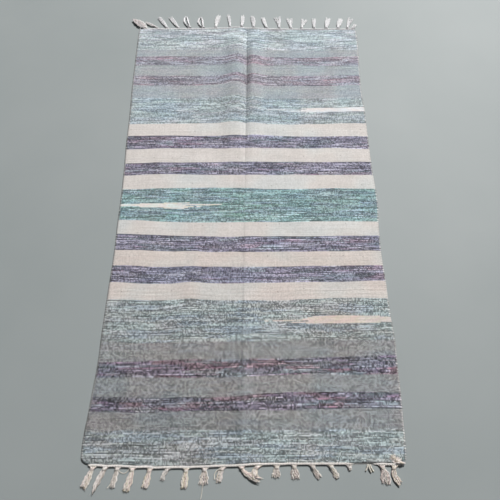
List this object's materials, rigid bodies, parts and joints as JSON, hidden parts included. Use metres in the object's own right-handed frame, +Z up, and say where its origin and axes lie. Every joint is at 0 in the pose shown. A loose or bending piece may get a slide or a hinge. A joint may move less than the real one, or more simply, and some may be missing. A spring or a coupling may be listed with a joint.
{
  "type": "handwoven striped cotton rug",
  "caption": "Flat-weave cotton runner rug with cross stripes in grey, blue, white, purple and green and knotted warp-end tassels at both ends, lying flat with a fold crease.",
  "frame": {"origin": "on the floor under the middle of the whole rug, fringes included", "axes": "+X across the rug along its picks, +Y along it towards the end that is far in the picture, +Z up from the floor"},
  "size_m": [0.846, 1.6332, 0.0196],
  "materials": {
    "woven_stripes": "matt hand-woven cotton, thick weft in streaky cross stripes of grey, light blue, off-white, purple and green",
    "pale_warp_ends": "off-white cotton warp ends, twined and knotted",
    "cream_warp_ends": "cream cotton warp ends, twined and knotted, a little yellowed"
  },
  "bodies": {
    "root": {"woven_cloth": "woven_stripes", "fringe_far": "pale_warp_ends", "fringe_near": "cream_warp_ends"}
  },
  "joints": []
}
